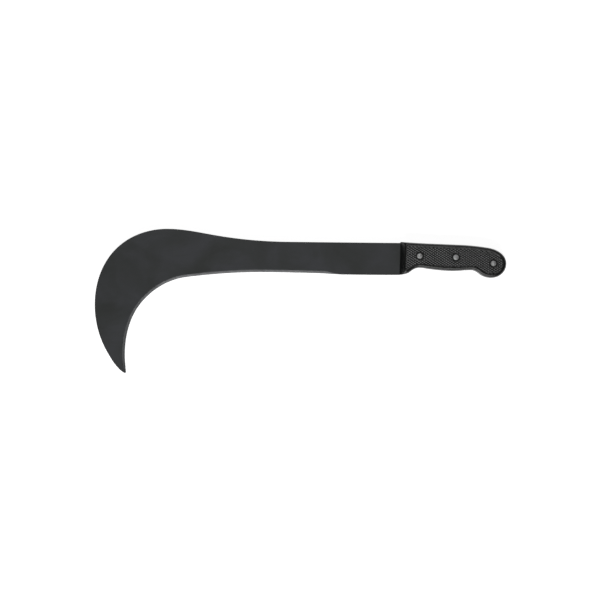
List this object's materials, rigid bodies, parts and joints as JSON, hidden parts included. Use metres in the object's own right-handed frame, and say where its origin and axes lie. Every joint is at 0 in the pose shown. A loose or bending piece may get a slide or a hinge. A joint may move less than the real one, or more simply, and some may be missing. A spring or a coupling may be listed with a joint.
{
  "type": "hand sickle",
  "caption": "Machete-pattern hand sickle: a hooked steel plate blade, ground on its concave edge, with a full tang riveted between chequered grip scales.",
  "frame": {"origin": "centre of the outline in X and Y, level with the lower face of the grip, with the tool lying flat", "axes": "+X along the tool from the hook to the pommel, +Y across it from the cutting side to the spine, +Z through its thickness towards the front scale, where the rivets are hammered over"},
  "size_m": [0.518, 0.1818, 0.023],
  "materials": {
    "lacquered_steel": "satin black lacquer over rolled steel plate, rubbed thin on the ground edge",
    "moulded_plastic": "black moulded plastic, smooth margin round a chequered panel",
    "rivet_metal": "dull hammered aluminium"
  },
  "bodies": {
    "root": {"blade": "lacquered_steel", "scale_front": "moulded_plastic", "scale_back": "moulded_plastic", "rivet_guard": "rivet_metal", "rivet_middle": "rivet_metal", "rivet_pommel": "rivet_metal", "burr_guard": "rivet_metal", "burr_middle": "rivet_metal", "burr_pommel": "rivet_metal"}
  },
  "joints": []
}
